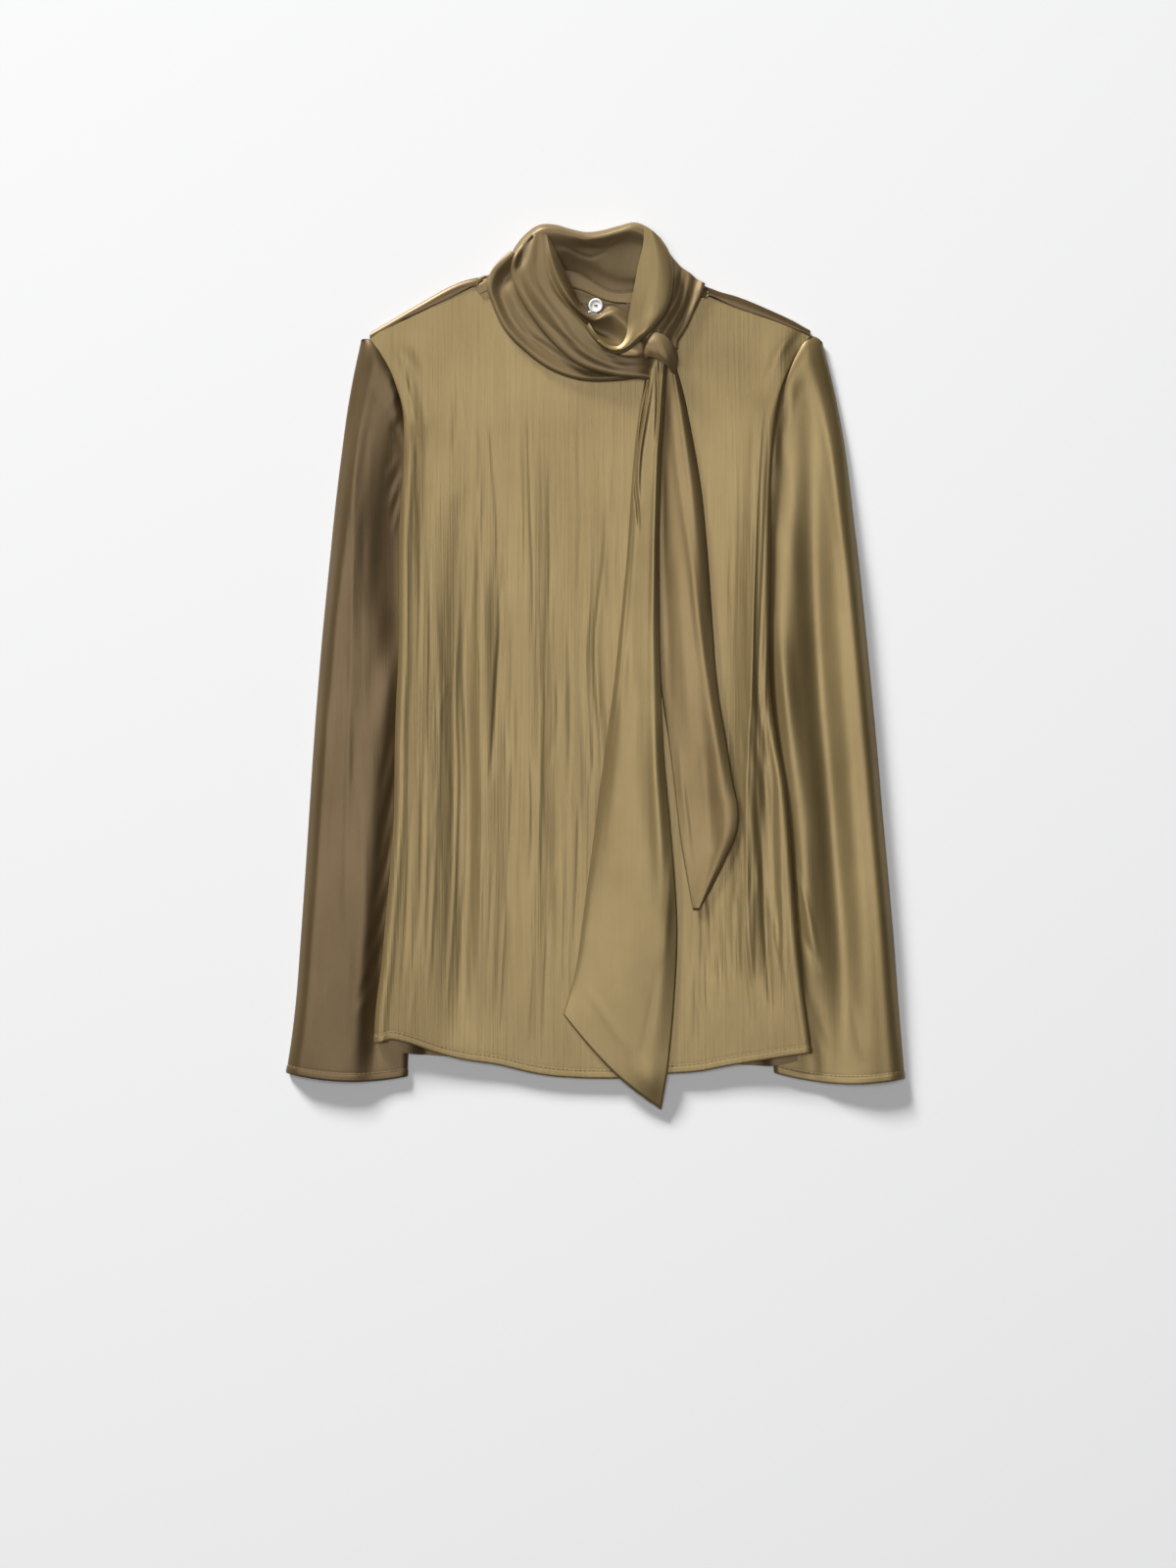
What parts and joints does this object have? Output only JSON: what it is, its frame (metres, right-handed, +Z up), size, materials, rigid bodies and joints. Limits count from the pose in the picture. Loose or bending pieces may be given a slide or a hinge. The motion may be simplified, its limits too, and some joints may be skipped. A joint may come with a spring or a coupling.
{
  "type": "long-sleeve blouse with a tied scarf collar, laid flat",
  "caption": "Satin long-sleeve blouse laid flat: scarf collar wound and knotted at the side with two hanging ends, sleeves tucked under the body, back-neck buttons.",
  "frame": {"origin": "middle of the flat underside of the laid garment's box", "axes": "+X to the viewer's right, which is the wearer's left; +Y from hem to collar; +Z up out of the surface, through the front"},
  "size_m": [0.536, 0.768, 0.0319],
  "materials": {
    "satin": "olive-khaki satin with a soft sheen",
    "pearl": "polished pearl white"
  },
  "bodies": {
    "root": {"front": "satin", "back": "satin", "sleeve_right": "satin", "sleeve_left": "satin", "collar_back": "satin", "collar_under": "satin", "collar_roll": "satin", "collar_flap": "satin", "collar_end": "satin", "knot": "satin", "tie_long": "satin", "tie_short": "satin", "neck_binding": "satin", "button_upper": "pearl", "button_lower": "pearl"}
  },
  "joints": []
}
